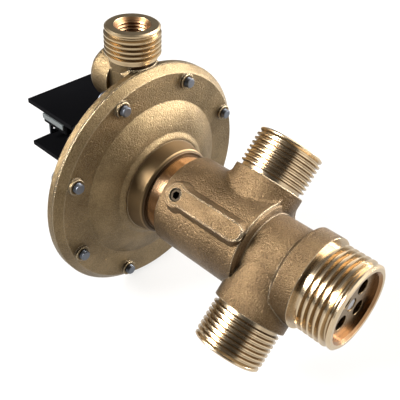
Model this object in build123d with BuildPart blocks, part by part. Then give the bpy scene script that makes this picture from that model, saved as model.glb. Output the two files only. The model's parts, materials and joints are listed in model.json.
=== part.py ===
from build123d import *
from math import cos, radians, sin
import os

os.makedirs("parts", exist_ok=True)

# Three-way diverter valve with a diaphragm head. Millimetres.
# X runs along the valve and out of its end port, Z is up along the small
# connection of the rear cover, and the origin is the centre of the end port's face.

# Fits and clearances
RUN = 0.05          # radial clearance of a guided rod
APART = 0.3         # free gap between pieces that move past each other
TAP = 0.02          # radial clearance of a screw in its own hole
STROKE = 6.2        # how far the spindle is pushed back

# Threads of the ports: crest radius and pitch
END_CREST, END_PITCH = 16.62, 2.309
SIDE_CREST, SIDE_PITCH = 13.22, 1.814
TOP_CREST, TOP_PITCH = 10.48, 1.814
THREAD_DEPTH = 0.64     # depth as a share of the pitch
THREAD_LEAD = 1.1       # plain end as a share of the pitch

# Valve body
TUBE_R = 18.3
TUBE_BACK = -79.2
TUBE_FRONT = -40.6
WAIST_R = 14.8
COLLAR_R = 17.8
COLLAR_LONG = 7.6
END_THREAD = 16.0
END_BORE_R = 13.2
SIDE_TUBE_R = 14.05
SIDE_BASE = 22.0
SIDE_END = 38.0
SIDE_BORE_R = 8.8
PORT_A_X = -52.7
PORT_B_X = -32.0
PORT_TILT = 45.0
SPIGOT_R = 15.0
SPIGOT_FRONT = -64.0
CHAMBER_R = 13.5
FRONT_CHAMBER_R = 12.6
WEB_FRONT = -41.0
WEB_THICK = 2.4
SEAT_HOLE_R = 8.0
PAD_X = -71.0
PAD_R = 4.1
PAD_HEIGHT = 21.2
RIB_FRONT = -42.0
RIB_R = 3.1
GRUB_R = 2.5

# Seat insert
INSERT_BACK = -22.0
INSERT_FRONT = -2.6
INSERT_WALL = 2.0
GUIDE_R = 3.9
GUIDE_LONG = 11.0
INSERT_WEB = 3.0
WINDOW_R = 2.9
WINDOW_PCR = 7.0

# Spindle and shutter
SPINDLE_R = 2.5
PIN_R = 2.0
SPINDLE_TIP = INSERT_FRONT - 0.3
SHOULDER_X = -98.4
SHUTTER_R = 10.5
PAD_THICK = 2.0
HUB_R = 5.0
HUB_OVER = 2.3

# Diaphragm head
COVER_R = 48.0
COVER_FACE = -97.8
JOINT_X = -100.9
FLANGE_BACK = -104.6
SCREW_PCR = COVER_R - 6.2
SCREW_R = 1.95
SCREW_COUNT = 8
BOSS_RING_R = 3.1
BOSS_RING_HIGH = 1.2
SCREW_PROUD = 2.0
DOME_R = COVER_R - 14.2
RIDGE_R = 19.9
RIDGE_X = -92.6
HUB_FRONT = -85.4
GUIDE_X = -83.9
NECK_R = 16.2
NECK_BORE_R = 6.5
DISH_R = COVER_R - 14.0
DISH_INNER_R = DISH_R - 2.5
DISH_BACK = -113.0
DISH_FLOOR = DISH_BACK + 2.5
BOSS_R = 9.0
BOSS_BACK = DISH_BACK - 5.6
RUBBER = 1.2
RUBBER_R = DISH_INNER_R + 4.3
PLATE_R = DISH_INNER_R - 7.5
PLATE_THICK = 1.5
NUT_AF = 7.0
NUT_THICK = 2.4
RECESS_R = 5.5
RECESS_BACK = DISH_FLOOR - 1.5

# Stub with the upward connection
STUB_R = 10.5
STUB_Z = COVER_R - 8.0
STUB_FLAT = 8.4
TOP_X = FLANGE_BACK - 5.0
STUB_BACK = TOP_X - 14.9
STUB_ROUND = 4.0
TOP_BASE = COVER_R + 2.0
TOP_END = TOP_BASE + 12.2
TOP_BORE_R = 5.8
PLUG_R = 6.3
RIM_GAP = 1.7

# Switch bracket, switch and lever
WALL = 1.8
WALL_X = DISH_BACK - 4.0
BRACKET_BACK = WALL_X - 30.0
BRACKET_HALF = 23.5
UPPER_Z = 25.0
LOWER_Z = 5.0
BRACKET_FOOT = -14.0
BRACKET_SCREW_Y = 15.0
BRACKET_SCREW_Z = -8.0
SWITCH_THICK = 10.3
SWITCH_FRONT = WALL_X - 13.5
SWITCH_BACK = SWITCH_FRONT - 15.9
SWITCH_Y0, SWITCH_Y1 = -18.0, 9.8
PLUNGER_R = 1.3
PLUNGER_OUT = 1.9
PLUNGER_Z = 17.6
LEVER_X = WALL_X - 5.4
LEVER_Z = 20.6
LEVER_THICK = 1.6
PIN_TIP = LEVER_X + LEVER_THICK / 2 + APART
LEVER_HALF = 3.5
LEVER_PIN_R = 1.0

SIDE_WAY = (0, cos(radians(PORT_TILT)), sin(radians(PORT_TILT)))
PAD_WAY = (0, -sin(radians(PORT_TILT)), cos(radians(PORT_TILT)))


def outline(points, plane=Plane.XY):
    """A flat face through the points, measured along and away from an axis."""
    with BuildSketch(plane) as face:
        with BuildLine():
            Polyline(*points, close=True)
        make_face()
    return face.sketch


def thread_edge(base, end, crest, pitch):
    """Ridges of a pipe thread from its base to a plain chamfered lead."""
    deep = THREAD_DEPTH * pitch
    flat = pitch / 8
    lead = THREAD_LEAD * pitch
    count = int((end - base - lead) / pitch)
    points = [(base, crest - deep)]
    for turn in range(count):
        at = end - lead - (count - turn) * pitch
        points += [(at + flat, crest - deep), (at + pitch / 2 - flat, crest)]
        points += [(at + pitch / 2 + flat, crest), (at + pitch - flat, crest - deep)]
    points += [(end - lead + flat, crest - deep), (end - lead / 2, crest - deep / 4)]
    points += [(end - lead / 4, crest - deep / 4), (end, crest - deep * 0.85)]
    return points


def across(x, z=0.0, y=0.0):
    """A plane square to the valve's axis, seen from the end port."""
    return Plane(origin=(x, y, z), x_dir=(0, 1, 0), z_dir=(1, 0, 0))


port_a = Plane(origin=(PORT_A_X, 0, 0), x_dir=SIDE_WAY, z_dir=PAD_WAY)
port_b = Plane(origin=(PORT_B_X, 0, 0), x_dir=tuple(-v for v in SIDE_WAY), z_dir=PAD_WAY)
top_way = Plane(origin=(TOP_X, 0, 0), x_dir=(0, 0, 1), z_dir=(0, 1, 0))
pad_top = Plane(
    origin=tuple(v * PAD_HEIGHT for v in PAD_WAY), x_dir=(1, 0, 0), z_dir=PAD_WAY
)

# Valve body: one casting with machined ports
end_root = END_CREST - THREAD_DEPTH * END_PITCH
side_root = SIDE_CREST - THREAD_DEPTH * SIDE_PITCH
bore_back_r = SPIGOT_R + 0.03
with BuildPart() as valve_body:
    # wide rear tube with side port A, blended together
    revolve(
        outline([(TUBE_BACK, 0), (TUBE_BACK, TUBE_R), (-END_THREAD, TUBE_R), (-END_THREAD, 0)]),
        axis=Axis.X,
    )
    side_tube = [(0, 0), (0, SIDE_TUBE_R), (SIDE_BASE, SIDE_TUBE_R), (SIDE_BASE, 0)]
    revolve(outline(side_tube, port_a), axis=Axis(port_a.origin, port_a.x_dir))
    joins = [e for e in valve_body.edges() if e.geom_type not in (GeomType.CIRCLE, GeomType.LINE)]
    fillet(joins, 2.5)
    # in front of the shoulder the tube narrows to a waist and ends in a collar
    revolve(
        outline(
            [
                (TUBE_FRONT, TUBE_R + 0.5),
                (TUBE_FRONT, TUBE_R - 0.6),
                (TUBE_FRONT + 0.6, TUBE_R - 1.2),
                (TUBE_FRONT + 1.4, WAIST_R),
                (-END_THREAD - COLLAR_LONG - 2.0, WAIST_R),
                (-END_THREAD - COLLAR_LONG, COLLAR_R),
                (1, COLLAR_R),
                (1, SIDE_END),
                (TUBE_FRONT, SIDE_END),
            ]
        ),
        axis=Axis.X,
        mode=Mode.SUBTRACT,
    )
    for port in (port_a, port_b):
        revolve(outline(side_tube, port), axis=Axis(port.origin, port.x_dir))
    # pad for the set screw, with the rib that runs forward from it
    with BuildSketch(pad_top):
        with Locations((PAD_X, 0)):
            Circle(PAD_R)
        with Locations(((PAD_X + RIB_FRONT) / 2, 0)):
            SlotCenterToCenter(RIB_FRONT - PAD_X - RIB_R, 2 * RIB_R)
    extrude(amount=-(PAD_HEIGHT - TUBE_R + 3))
    rounds = valve_body.edges().filter_by(GeomType.CIRCLE)
    chamfer([e for e in rounds if abs(e.center().X - TUBE_BACK) < 0.01], 0.6)
    # threads of the three ports
    revolve(
        outline(
            [(-END_THREAD - 1, 0), (-END_THREAD - 1, end_root)]
            + thread_edge(-END_THREAD, 0, END_CREST, END_PITCH)
            + [(0, 0)]
        ),
        axis=Axis.X,
    )
    for port in (port_a, port_b):
        revolve(
            outline(
                [(SIDE_BASE - 1, 0), (SIDE_BASE - 1, side_root)]
                + thread_edge(SIDE_BASE, SIDE_END, SIDE_CREST, SIDE_PITCH)
                + [(SIDE_END, 0)],
                port,
            ),
            axis=Axis(port.origin, port.x_dir),
        )
    # stepped bore with the rear seat between the two chambers
    revolve(
        outline(
            [
                (TUBE_BACK - 1, 0),
                (TUBE_BACK - 1, bore_back_r + 1.6),
                (TUBE_BACK + 0.6, bore_back_r),
                (SPIGOT_FRONT, bore_back_r),
                (SPIGOT_FRONT, CHAMBER_R),
                (WEB_FRONT - WEB_THICK, CHAMBER_R),
                (WEB_FRONT - WEB_THICK, SEAT_HOLE_R),
                (WEB_FRONT, SEAT_HOLE_R),
                (WEB_FRONT, FRONT_CHAMBER_R),
                (INSERT_BACK, FRONT_CHAMBER_R),
                (INSERT_BACK, END_BORE_R),
                (-1, END_BORE_R),
                (1, END_BORE_R + 2),
                (1, 0),
            ]
        ),
        axis=Axis.X,
        mode=Mode.SUBTRACT,
    )
    for port in (port_a, port_b):
        revolve(
            outline(
                [
                    (CHAMBER_R / 2, 0),
                    (CHAMBER_R / 2, SIDE_BORE_R),
                    (SIDE_END - 0.8, SIDE_BORE_R),
                    (SIDE_END + 1, SIDE_BORE_R + 1.8),
                    (SIDE_END + 1, 0),
                ],
                port,
            ),
            axis=Axis(port.origin, port.x_dir),
            mode=Mode.SUBTRACT,
        )
    # tapped hole of the set screw
    with BuildSketch(pad_top):
        with Locations((PAD_X, 0)):
            Circle(GRUB_R + TAP)
    extrude(amount=-(PAD_HEIGHT - SPIGOT_R + 3), mode=Mode.SUBTRACT)
valve_body.part.label = "valve_body"
export_step(valve_body.part, "parts/valve_body.step")

# Set screw with a hexagon socket; its dog end stands in the neck's groove
GROOVE_R = 13.8
GROOVE_HALF = 2.2
dog_r = GROOVE_HALF - APART
grub_top = PAD_HEIGHT - 0.6
grub_end = GROOVE_R + APART
with BuildPart() as grub_screw:
    with BuildSketch(pad_top.offset(grub_top - PAD_HEIGHT)):
        with Locations((PAD_X, 0)):
            Circle(GRUB_R)
    extrude(amount=-(grub_top - SPIGOT_R - 0.8))
    with BuildSketch(pad_top.offset(grub_top - PAD_HEIGHT)):
        with Locations((PAD_X, 0)):
            Circle(dog_r)
    extrude(amount=-(grub_top - grub_end))
    with BuildSketch(pad_top.offset(grub_top - PAD_HEIGHT)):
        with Locations((PAD_X, 0)):
            RegularPolygon(1.25, 6, major_radius=False)
    extrude(amount=-2.4, mode=Mode.SUBTRACT)
    chamfer(grub_screw.edges().filter_by(GeomType.CIRCLE).sort_by(Axis(pad_top.origin, PAD_WAY))[-1], 0.3)
grub_screw.part.label = "grub_screw"
export_step(grub_screw.part, "parts/grub_screw.step")

# Seat insert: a ring with the front seat behind and a spoked guide in front
with BuildPart() as seat_insert:
    revolve(
        outline(
            [
                (INSERT_BACK, SEAT_HOLE_R + 0.4),
                (INSERT_BACK, END_BORE_R),
                (INSERT_FRONT, END_BORE_R),
                (INSERT_FRONT, END_BORE_R - 2),
                (INSERT_BACK + INSERT_WALL, END_BORE_R - 2),
                (INSERT_BACK + INSERT_WALL, SEAT_HOLE_R + 0.4),
            ]
        ),
        axis=Axis.X,
    )
    with BuildSketch(across(INSERT_FRONT)):
        Circle(END_BORE_R - 1)
        with PolarLocations(WINDOW_PCR, 4, start_angle=45):
            Circle(WINDOW_R, mode=Mode.SUBTRACT)
    extrude(amount=-INSERT_WEB)
    with BuildSketch(across(INSERT_FRONT)):
        Circle(GUIDE_R)
    extrude(amount=-GUIDE_LONG)
    with BuildSketch(across(INSERT_FRONT)):
        Circle(SPINDLE_R + RUN)
    extrude(amount=-GUIDE_LONG, mode=Mode.SUBTRACT)
seat_insert.part.label = "seat_insert"
export_step(seat_insert.part, "parts/seat_insert.step")

# Shutter: a brass carrier with a rubber pad on each face
front_pad_x = INSERT_BACK - APART
rear_pad_x = WEB_FRONT + STROKE + APART
disc_front = front_pad_x - PAD_THICK
disc_back = rear_pad_x + PAD_THICK
hub_front = front_pad_x + HUB_OVER
hub_back = rear_pad_x - HUB_OVER
with BuildPart() as shutter_carrier:
    revolve(
        outline(
            [
                (hub_back, SPINDLE_R + TAP),
                (hub_back, HUB_R - 0.5),
                (hub_back + 0.5, HUB_R),
                (disc_back, HUB_R),
                (disc_back, SHUTTER_R),
                (disc_back + 2, SHUTTER_R),
                (disc_back + 3, SHUTTER_R - 2.5),
                (disc_front - 3, SHUTTER_R - 2.5),
                (disc_front - 2, SHUTTER_R),
                (disc_front, SHUTTER_R),
                (disc_front, HUB_R),
                (hub_front - 0.5, HUB_R),
                (hub_front, HUB_R - 0.5),
                (hub_front, SPINDLE_R + TAP),
            ]
        ),
        axis=Axis.X,
    )
shutter_carrier.part.label = "shutter_carrier"
export_step(shutter_carrier.part, "parts/shutter_carrier.step")

with BuildPart() as shutter_pad_front:
    revolve(
        outline(
            [
                (disc_front, HUB_R + TAP),
                (disc_front, SHUTTER_R),
                (front_pad_x - 0.4, SHUTTER_R),
                (front_pad_x, SHUTTER_R - 0.4),
                (front_pad_x, HUB_R + TAP),
            ]
        ),
        axis=Axis.X,
    )
shutter_pad_front.part.label = "shutter_pad_front"
export_step(shutter_pad_front.part, "parts/shutter_pad_front.step")

with BuildPart() as shutter_pad_rear:
    revolve(
        outline(
            [
                (disc_back, HUB_R + TAP),
                (disc_back, SHUTTER_R),
                (rear_pad_x + 0.4, SHUTTER_R),
                (rear_pad_x, SHUTTER_R - 0.4),
                (rear_pad_x, HUB_R + TAP),
            ]
        ),
        axis=Axis.X,
    )
shutter_pad_rear.part.label = "shutter_pad_rear"
export_step(shutter_pad_rear.part, "parts/shutter_pad_rear.step")

# Two E-clips hold the carrier on the spindle
CLIP_T = 0.8
CLIP_GROOVE_R = SPINDLE_R - 0.4
with BuildPart() as shutter_clips:
    for back in (hub_front, hub_back - CLIP_T):
        with BuildSketch(across(back)):
            Circle(4.3)
            Circle(CLIP_GROOVE_R + TAP, mode=Mode.SUBTRACT)
            with Locations((0, -3)):
                Rectangle(2 * CLIP_GROOVE_R, 6, mode=Mode.SUBTRACT)
        extrude(amount=CLIP_T)
shutter_clips.part.label = "shutter_clips"
export_step(shutter_clips.part, "parts/shutter_clips.step")

# Spindle: guide end in front, shoulder at the diaphragm, domed pin behind
with BuildPart() as spindle:
    revolve(
        outline(
            [
                (PIN_TIP, 0),
                (PIN_TIP + 0.27, 1.0),
                (PIN_TIP + 1.0, 1.73),
                (PIN_TIP + 2.0, PIN_R),
                (SHOULDER_X, PIN_R),
                (SHOULDER_X, 3.6),
                (SHOULDER_X + 1.5, 3.6),
                (SHOULDER_X + 1.5, SPINDLE_R),
                (hub_back - CLIP_T, SPINDLE_R),
                (hub_back - CLIP_T, CLIP_GROOVE_R),
                (hub_back, CLIP_GROOVE_R),
                (hub_back, SPINDLE_R),
                (hub_front, SPINDLE_R),
                (hub_front, CLIP_GROOVE_R),
                (hub_front + CLIP_T, CLIP_GROOVE_R),
                (hub_front + CLIP_T, SPINDLE_R),
                (SPINDLE_TIP - 0.5, SPINDLE_R),
                (SPINDLE_TIP, SPINDLE_R - 0.5),
                (SPINDLE_TIP, 0),
            ]
        ),
        axis=Axis.X,
    )
spindle.part.label = "spindle"
export_step(spindle.part, "parts/spindle.step")

# Diaphragm stack: front plate, rubber, rear plate, nut
rubber_front = SHOULDER_X - PLATE_THICK
rubber_back = rubber_front - RUBBER
nut_front = rubber_back - PLATE_THICK
with BuildPart() as front_plate:
    with BuildSketch(across(SHOULDER_X)):
        Circle(PLATE_R)
        Circle(PIN_R + TAP, mode=Mode.SUBTRACT)
    extrude(amount=-PLATE_THICK)
    fillet(front_plate.edges().filter_by(GeomType.CIRCLE).sort_by(SortBy.RADIUS)[-2:], 0.5)
front_plate.part.label = "front_plate"
export_step(front_plate.part, "parts/front_plate.step")

with BuildPart() as rear_plate:
    with BuildSketch(across(rubber_back)):
        Circle(PLATE_R)
        Circle(PIN_R + TAP, mode=Mode.SUBTRACT)
    extrude(amount=-PLATE_THICK)
    fillet(rear_plate.edges().filter_by(GeomType.CIRCLE).sort_by(SortBy.RADIUS)[-2:], 0.5)
rear_plate.part.label = "rear_plate"
export_step(rear_plate.part, "parts/rear_plate.step")

with BuildPart() as plate_nut:
    with BuildSketch(across(nut_front)):
        RegularPolygon(NUT_AF / 2, 6, major_radius=False)
        Circle(PIN_R + TAP, mode=Mode.SUBTRACT)
    extrude(amount=-NUT_THICK)
plate_nut.part.label = "plate_nut"
export_step(plate_nut.part, "parts/plate_nut.step")

# Diaphragm with one rolled fold between the plates and the clamped rim
rim_back = JOINT_X - RUBBER
roll_in = PLATE_R + 0.8
roll_out = DISH_INNER_R - 0.3
roll_mid = (roll_in + roll_out) / 2
roll_deep = 3.2
with BuildPart() as diaphragm:
    with BuildSketch(Plane.XY):
        with BuildLine():
            Polyline((rubber_back, roll_in), (rubber_back, PIN_R + TAP), (rubber_front, PIN_R + TAP))
            Line((rubber_front, PIN_R + TAP), (rubber_front, roll_in + RUBBER))
            ThreePointArc(
                (rubber_front, roll_in + RUBBER),
                (rubber_back - roll_deep + RUBBER, roll_mid),
                (JOINT_X, roll_out - RUBBER),
            )
            Polyline(
                (JOINT_X, roll_out - RUBBER),
                (JOINT_X, RUBBER_R),
                (rim_back, RUBBER_R),
                (rim_back, roll_out),
            )
            ThreePointArc(
                (rim_back, roll_out), (rubber_back - roll_deep, roll_mid), (rubber_back, roll_in)
            )
        make_face()
    revolve(axis=Axis.X)
diaphragm.part.label = "diaphragm"
export_step(diaphragm.part, "parts/diaphragm.step")

# Conical return spring between the rear plate and the dish
SPRING_WIRE = 0.6
spring_big = 15.0
spring_small = 9.0
spring_back = DISH_FLOOR + SPRING_WIRE
spring_front = nut_front - SPRING_WIRE
spring_rise = spring_front - spring_back
with BuildPart() as return_spring:
    with BuildLine():
        Helix(
            pitch=spring_rise / 3,
            height=spring_rise,
            radius=spring_big,
            center=(spring_back, 0, 0),
            direction=(1, 0, 0),
            cone_angle=-43.0,
        )
    wire = return_spring.pending_edges[0]
    with BuildSketch(Plane(origin=wire @ 0, z_dir=wire % 0)):
        Circle(SPRING_WIRE)
    sweep(path=wire)
return_spring.part.label = "return_spring"
export_step(return_spring.part, "parts/return_spring.step")

# Front cover: flange, dome, hub and turned neck, cored from both ends
neck_front = SPIGOT_FRONT - APART
with BuildPart() as front_cover:
    with BuildSketch(Plane.XY):
        with BuildLine():
            Polyline(
                (JOINT_X, DISH_INNER_R),
                (JOINT_X, COVER_R),
                (COVER_FACE - 2.9, COVER_R),
                (COVER_FACE, COVER_R - 2.9),
                (COVER_FACE, DOME_R),
            )
            ThreePointArc(
                (COVER_FACE, DOME_R),
                (COVER_FACE + 2.9, (DOME_R + RIDGE_R) / 2 + 1.4),
                (RIDGE_X - 1.0, RIDGE_R + 2.4),
            )
            Polyline(
                (RIDGE_X - 1.0, RIDGE_R + 2.4),
                (RIDGE_X, RIDGE_R + 0.9),
                (RIDGE_X + 0.3, RIDGE_R),
                (RIDGE_X + 0.3, RIDGE_R - 0.4),
                (HUB_FRONT - 1.0, RIDGE_R - 1.6),
                (HUB_FRONT, RIDGE_R - 2.6),
                (HUB_FRONT, NECK_R),
                (TUBE_BACK - APART, NECK_R),
                (TUBE_BACK - APART, SPIGOT_R),
                (PAD_X - GROOVE_HALF, SPIGOT_R),
                (PAD_X - GROOVE_HALF, GROOVE_R),
                (PAD_X + GROOVE_HALF, GROOVE_R),
                (PAD_X + GROOVE_HALF, SPIGOT_R),
                (PAD_X + 3.4, SPIGOT_R),
                (PAD_X + 3.4, SPIGOT_R - 1.8),
                (PAD_X + 5.4, SPIGOT_R - 1.8),
                (PAD_X + 5.4, SPIGOT_R),
                (neck_front - 0.5, SPIGOT_R),
                (neck_front, SPIGOT_R - 0.5),
                (neck_front, 11.0),
                (PAD_X, 11.0),
                (PAD_X, NECK_BORE_R),
                (PAD_X - 1.9, NECK_BORE_R),
                (PAD_X - 1.9, NECK_BORE_R + 0.5),
                (PAD_X - 3.0, NECK_BORE_R + 0.5),
                (PAD_X - 3.0, NECK_BORE_R),
                (GUIDE_X, NECK_BORE_R),
                (GUIDE_X, 4.0),
                (GUIDE_X - 3.5, 4.0),
                (GUIDE_X - 3.5, 14.0),
                (RIDGE_X - 3.4, 16.5),
                (COVER_FACE - 2.2, DISH_INNER_R - 1.5),
                (JOINT_X, DISH_INNER_R),
            )
        make_face()
    revolve(axis=Axis.X)
    # ring bosses round the screw holes
    with BuildSketch(across(COVER_FACE)):
        with PolarLocations(SCREW_PCR, SCREW_COUNT, start_angle=22.5):
            Circle(BOSS_RING_R)
    extrude(amount=BOSS_RING_HIGH)
    with BuildSketch(across(COVER_FACE + BOSS_RING_HIGH)):
        with PolarLocations(SCREW_PCR, SCREW_COUNT, start_angle=22.5):
            Circle(SCREW_R + TAP)
    extrude(amount=-6, mode=Mode.SUBTRACT)
front_cover.part.label = "front_cover"
export_step(front_cover.part, "parts/front_cover.step")

# O-ring of the neck
neck_ring_r = 0.72
with BuildPart() as neck_seal:
    with BuildSketch(Plane.XY):
        with Locations((PAD_X + 4.4, SPIGOT_R - 1.8 + neck_ring_r + TAP)):
            Circle(neck_ring_r)
    revolve(axis=Axis.X)
neck_seal.part.label = "neck_seal"
export_step(neck_seal.part, "parts/neck_seal.step")

# Bush, seal and circlip that guide the spindle in the neck
bush_front = PAD_X - 3.0
with BuildPart() as neck_bush:
    revolve(
        outline(
            [
                (GUIDE_X, SPINDLE_R + RUN),
                (GUIDE_X, NECK_BORE_R),
                (bush_front, NECK_BORE_R),
                (bush_front, SPINDLE_R + RUN),
                (bush_front - 3.6, SPINDLE_R + RUN),
                (bush_front - 3.6, SPINDLE_R + 1.8),
                (bush_front - 5.4, SPINDLE_R + 1.8),
                (bush_front - 5.4, SPINDLE_R + RUN),
            ]
        ),
        axis=Axis.X,
    )
neck_bush.part.label = "neck_bush"
export_step(neck_bush.part, "parts/neck_bush.step")

seal_wire = 0.72
with BuildPart() as neck_bush_seal:
    with BuildSketch(Plane.XY):
        with Locations((bush_front - 4.5, SPINDLE_R + 1.8 - seal_wire - TAP)):
            Circle(seal_wire)
    revolve(axis=Axis.X)
neck_bush_seal.part.label = "neck_bush_seal"
export_step(neck_bush_seal.part, "parts/neck_bush_seal.step")

with BuildPart() as bush_clip:
    with BuildSketch(across(bush_front)):
        Circle(NECK_BORE_R + 0.45)
        Circle(NECK_BORE_R - 1.2, mode=Mode.SUBTRACT)
        with Locations((0, -NECK_BORE_R)):
            Rectangle(3, 4, mode=Mode.SUBTRACT)
    extrude(amount=1.0)
bush_clip.part.label = "bush_clip"
export_step(bush_clip.part, "parts/bush_clip.step")

# Rear cover: flange, dish, gland boss, stub and upward threaded connection
gland_bore_r = 5.5
gland_seat = RECESS_BACK - 2.0
top_root = TOP_CREST - THREAD_DEPTH * TOP_PITCH
with BuildPart() as rear_cover:
    revolve(
        outline(
            [
                (JOINT_X, 0),
                (JOINT_X, COVER_R - 0.4),
                (JOINT_X - 0.4, COVER_R),
                (FLANGE_BACK + 1, COVER_R),
                (FLANGE_BACK, COVER_R - 1),
                (FLANGE_BACK, DISH_R + 1.5),
                (FLANGE_BACK - 1.5, DISH_R),
                (DISH_BACK + 2, DISH_R),
                (DISH_BACK, DISH_R - 2),
                (DISH_BACK, BOSS_R + 1.5),
                (DISH_BACK - 1.5, BOSS_R),
                (BOSS_BACK, BOSS_R),
                (BOSS_BACK, 0),
            ]
        ),
        axis=Axis.X,
    )
    # bosses of the bracket screws
    with BuildSketch(across(WALL_X)):
        with Locations((-BRACKET_SCREW_Y, BRACKET_SCREW_Z), (BRACKET_SCREW_Y, BRACKET_SCREW_Z)):
            Circle(4.0)
    extrude(amount=DISH_BACK - WALL_X + 0.5)
    # stub that lies along the valve, with a rounded end
    with BuildSketch(across(STUB_BACK, STUB_Z)):
        Circle(STUB_R)
    extrude(amount=FLANGE_BACK - STUB_BACK + 1)
    stub_end = [e for e in rear_cover.edges().filter_by(GeomType.CIRCLE) if abs(e.center().X - STUB_BACK) < 0.01]
    fillet(stub_end, STUB_ROUND)
    # threaded connection on top
    revolve(
        outline(
            [(STUB_Z, 0), (STUB_Z, top_root - 0.6), (TOP_BASE, top_root - 0.6)]
            + thread_edge(TOP_BASE, TOP_END, TOP_CREST, TOP_PITCH)
            + [(TOP_END, 0)],
            top_way,
        ),
        axis=Axis(top_way.origin, top_way.x_dir),
    )
    # gap under the thread in front, above the rim of the covers
    with BuildSketch(across(JOINT_X)):
        with Locations((0, TOP_BASE - TOP_CREST)):
            Rectangle(3 * TOP_CREST, 2 * TOP_CREST)
    extrude(amount=TOP_CREST, mode=Mode.SUBTRACT)
    with BuildSketch(across(FLANGE_BACK)):
        with Locations((0, TOP_BASE - RIM_GAP / 2)):
            Rectangle(3 * TOP_CREST, RIM_GAP)
    extrude(amount=TOP_CREST, mode=Mode.SUBTRACT)
    # flat on the near side of the stub
    with BuildSketch(Plane.XY.offset(STUB_Z - 7)):
        with Locations(((FLANGE_BACK + DISH_BACK) / 2, -STUB_FLAT - 3)):
            Rectangle(FLANGE_BACK - DISH_BACK, 6)
    extrude(amount=TOP_BASE - STUB_Z + 7, mode=Mode.SUBTRACT)
    # inside of the dish, rebate of the rubber rim, recess, rod hole and gland bore
    revolve(
        outline(
            [
                (JOINT_X + 1, 0),
                (JOINT_X + 1, RUBBER_R),
                (rim_back, RUBBER_R),
                (rim_back, DISH_INNER_R),
                (DISH_FLOOR + 1.5, DISH_INNER_R),
                (DISH_FLOOR, DISH_INNER_R - 1.5),
                (DISH_FLOOR, RECESS_R),
                (RECESS_BACK, RECESS_R),
                (RECESS_BACK, PIN_R + 0.4),
                (gland_seat, PIN_R + 0.4),
                (gland_seat, gland_bore_r),
                (BOSS_BACK - 1, gland_bore_r),
                (BOSS_BACK - 1, 0),
            ]
        ),
        axis=Axis.X,
        mode=Mode.SUBTRACT,
    )
    # waterway: down the connection, along the stub and into the dish
    revolve(
        outline(
            [
                (TOP_END - 1.0, 0),
                (TOP_END - 1.0, TOP_BORE_R),
                (TOP_END + 0.4, TOP_BORE_R + 1.4),
                (TOP_END + 0.4, 0),
            ],
            top_way,
        ),
        axis=Axis(top_way.origin, top_way.x_dir),
        mode=Mode.SUBTRACT,
    )
    with BuildSketch(Plane.XY.offset(TOP_END)):
        with Locations((TOP_X, 0)):
            Circle(TOP_BORE_R)
    extrude(amount=-(TOP_END - STUB_Z), mode=Mode.SUBTRACT)
    with BuildSketch(across(STUB_BACK, STUB_Z)):
        Circle(TOP_BORE_R)
    extrude(amount=TOP_X - STUB_BACK + 2, mode=Mode.SUBTRACT)
    with BuildSketch(Plane.XY.offset(STUB_Z)):
        with Locations((TOP_X + 1.0, 0)):
            Circle(2.0)
    extrude(amount=-(STUB_Z - DISH_INNER_R + 3), mode=Mode.SUBTRACT)
    # screw holes
    with BuildSketch(across(JOINT_X + 1)):
        with PolarLocations(SCREW_PCR, SCREW_COUNT, start_angle=22.5):
            Circle(SCREW_R + TAP)
    extrude(amount=-6, mode=Mode.SUBTRACT)
    with BuildSketch(across(FLANGE_BACK)):
        with PolarLocations(SCREW_PCR, SCREW_COUNT, start_angle=22.5):
            Circle(4.4)
    extrude(amount=-4, mode=Mode.SUBTRACT)
    with BuildSketch(across(WALL_X)):
        with Locations((-BRACKET_SCREW_Y, BRACKET_SCREW_Z), (BRACKET_SCREW_Y, BRACKET_SCREW_Z)):
            Circle(1.5 + TAP)
    extrude(amount=5, mode=Mode.SUBTRACT)
rear_cover.part.label = "rear_cover"
export_step(rear_cover.part, "parts/rear_cover.step")

# Eight pan-head screws through both covers
with BuildPart() as cover_screws:
    with BuildSketch(across(FLANGE_BACK - 2.8)):
        with PolarLocations(SCREW_PCR, SCREW_COUNT, start_angle=22.5):
            Circle(3.9)
    extrude(amount=2.8)
    heads = cover_screws.edges().filter_by(GeomType.CIRCLE).sort_by(Axis.X)[:SCREW_COUNT]
    fillet(heads, 1.2)
    with BuildSketch(across(FLANGE_BACK)):
        with PolarLocations(SCREW_PCR, SCREW_COUNT, start_angle=22.5):
            Circle(SCREW_R)
    extrude(amount=COVER_FACE + BOSS_RING_HIGH + SCREW_PROUD - FLANGE_BACK)
    tips = cover_screws.edges().filter_by(GeomType.CIRCLE).sort_by(Axis.X)[-SCREW_COUNT:]
    chamfer(tips, 0.4)
    with BuildSketch(across(FLANGE_BACK - 2.8)):
        with PolarLocations(SCREW_PCR, SCREW_COUNT, start_angle=22.5):
            Rectangle(4.2, 0.9)
            Rectangle(0.9, 4.2)
    extrude(amount=1.4, mode=Mode.SUBTRACT)
cover_screws.part.label = "cover_screws"
export_step(cover_screws.part, "parts/cover_screws.step")

# Rear gland: seal and screwed plug with a slot
with BuildPart() as gland_seal:
    with BuildSketch(Plane.XY):
        with Locations((gland_seat - seal_wire, PIN_R + 0.35 + seal_wire)):
            Circle(seal_wire)
    revolve(axis=Axis.X)
gland_seal.part.label = "gland_seal"
export_step(gland_seal.part, "parts/gland_seal.step")

gland_front = gland_seat - 2 * seal_wire
with BuildPart() as gland_nut:
    with BuildSketch(across(gland_front)):
        Circle(gland_bore_r)
        Circle(PIN_R + RUN, mode=Mode.SUBTRACT)
    extrude(amount=BOSS_BACK + 0.4 - gland_front)
    with BuildSketch(across(BOSS_BACK + 0.4)):
        Rectangle(2 * gland_bore_r + 1, 1.2)
    extrude(amount=1.2, mode=Mode.SUBTRACT)
gland_nut.part.label = "gland_nut"
export_step(gland_nut.part, "parts/gland_nut.step")

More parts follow.
